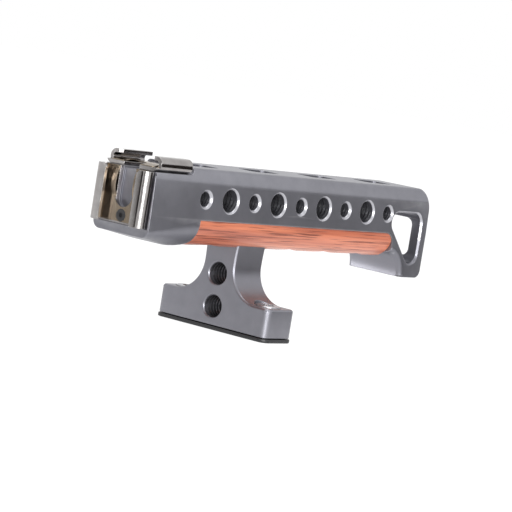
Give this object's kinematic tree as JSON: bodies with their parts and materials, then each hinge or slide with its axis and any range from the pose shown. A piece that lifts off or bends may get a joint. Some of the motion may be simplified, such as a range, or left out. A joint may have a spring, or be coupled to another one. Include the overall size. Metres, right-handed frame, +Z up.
{
  "type": "camera top handle",
  "caption": "Camera top handle: a milled bar with a wooden grip, shoes in front, cross holes, a strap slot and a foot that screws onto a camera.",
  "frame": {"origin": "middle of the underside of the foot pad, between the two camera screws", "axes": "+X along the handle towards its back end with the strap slot, +Y across it, +Z up"},
  "size_m": [0.1673, 0.0532, 0.0617],
  "materials": {
    "grey_anodised_aluminium": "satin, grey anodised, fine bead-blasted",
    "oiled_wood": "oiled, satin, grain along the handle",
    "black_rubber": "matt",
    "nickel_steel": "nickel plated, softly polished",
    "spring_steel": "polished, slightly golden from tempering",
    "satin_screw_steel": "satin stainless steel",
    "dark_screw_steel": "black oxide"
  },
  "bodies": {
    "root": {"handle_body": "grey_anodised_aluminium", "wood_grip_left": "oiled_wood", "wood_grip_right": "oiled_wood", "grip_screws": "dark_screw_steel", "riser_foot": "grey_anodised_aluminium", "riser_screws": "dark_screw_steel", "foot_pad": "black_rubber", "camera_screws": "satin_screw_steel", "top_shoe": "nickel_steel", "top_shoe_spring": "spring_steel", "front_shoe": "nickel_steel", "front_shoe_spring": "spring_steel", "shoe_screws": "dark_screw_steel"}
  },
  "joints": []
}
